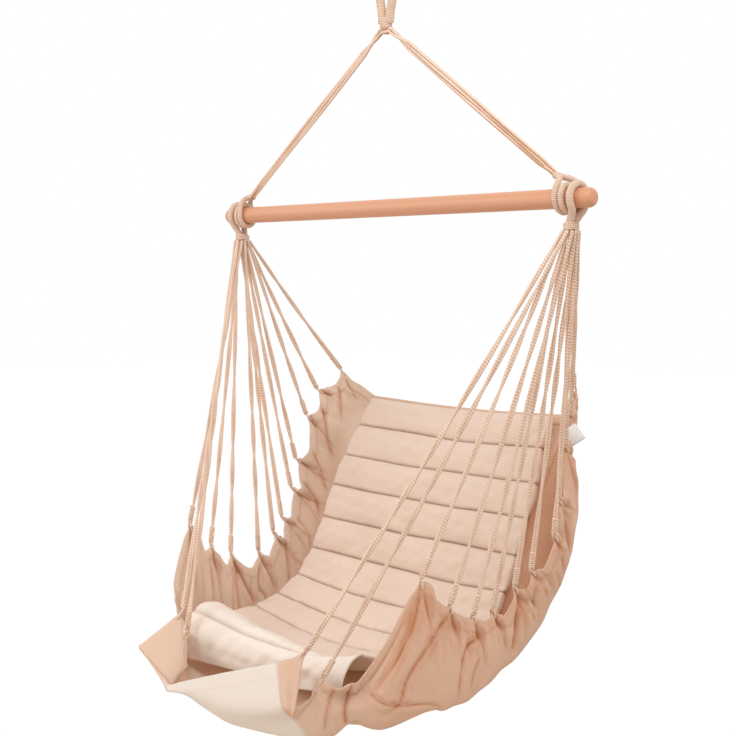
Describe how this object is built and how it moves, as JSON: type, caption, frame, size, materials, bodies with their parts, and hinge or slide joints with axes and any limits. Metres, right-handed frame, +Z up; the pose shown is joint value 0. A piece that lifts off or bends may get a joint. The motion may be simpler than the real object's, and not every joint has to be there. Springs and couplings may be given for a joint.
{
  "type": "hammock chair",
  "caption": "Hanging hammock chair: a cloth sling with a quilted pad, held by fans of knotted cords from a wooden spreader bar under one whipped rope eye.",
  "frame": {"origin": "the point inside the top of the rope eye that a hook bears on", "axes": "+Z up, +X along the spreader bar towards the sitter's left hand, -Y the way the sitter faces"},
  "size_m": [1, 0.7008, 1.4696],
  "materials": {
    "wood": "oiled, satin",
    "cord": "laid cotton cord",
    "cloth": "plain woven cotton",
    "padding": "quilted cotton over fibre",
    "label": "smooth woven tape"
  },
  "bodies": {
    "eye": {"hang_eye": "cord"},
    "neck": {"neck_wrap": "cord"},
    "crown": {"crown_knot": "cord"},
    "suspension": {"leg_strand_left_1": "cord", "leg_strand_left_2": "cord", "leg_strand_left_3": "cord", "leg_strand_right_1": "cord", "leg_strand_right_2": "cord", "leg_strand_right_3": "cord", "leg_hitch_left": "cord", "leg_hitch_right": "cord", "spreader_bar": "wood"},
    "seat": {"fan_eye_left": "cord", "fan_eye_right": "cord", "fan_seizing_left": "cord", "fan_seizing_right": "cord", "line_left_01": "cord", "line_left_02": "cord", "line_left_03": "cord", "line_left_04": "cord", "line_left_05": "cord", "line_left_06": "cord", "line_left_07": "cord", "line_left_08": "cord", "line_left_09": "cord", "line_left_10": "cord", "line_left_11": "cord", "line_left_12": "cord", "line_left_13": "cord", "line_right_01": "cord", "line_right_02": "cord", "line_right_03": "cord", "line_right_04": "cord", "line_right_05": "cord", "line_right_06": "cord", "line_right_07": "cord", "line_right_08": "cord", "line_right_09": "cord", "line_right_10": "cord", "line_right_11": "cord", "line_right_12": "cord", "line_right_13": "cord", "sling": "cloth", "quilted_pad": "padding", "side_label": "label"}
  },
  "joints": [
    {"name": "neck_twist", "type": "hinge", "parent": "eye", "child": "neck", "pos_m": [0, 0, -0.133], "axis": [0, 0, 1], "range_deg": [-90, 90]},
    {"name": "crown_sway", "type": "hinge", "parent": "neck", "child": "crown", "pos_m": [0, 0, -0.133], "axis": [0, 1, 0], "range_deg": [-20, 20]},
    {"name": "leg_swing", "type": "hinge", "parent": "crown", "child": "suspension", "pos_m": [0, 0, -0.133], "axis": [1, 0, 0], "range_deg": [-35, 35]},
    {"name": "seat_rock", "type": "hinge", "parent": "suspension", "child": "seat", "pos_m": [0, 0, -0.49], "axis": [1, 0, 0], "range_deg": [-20, 25]}
  ]
}
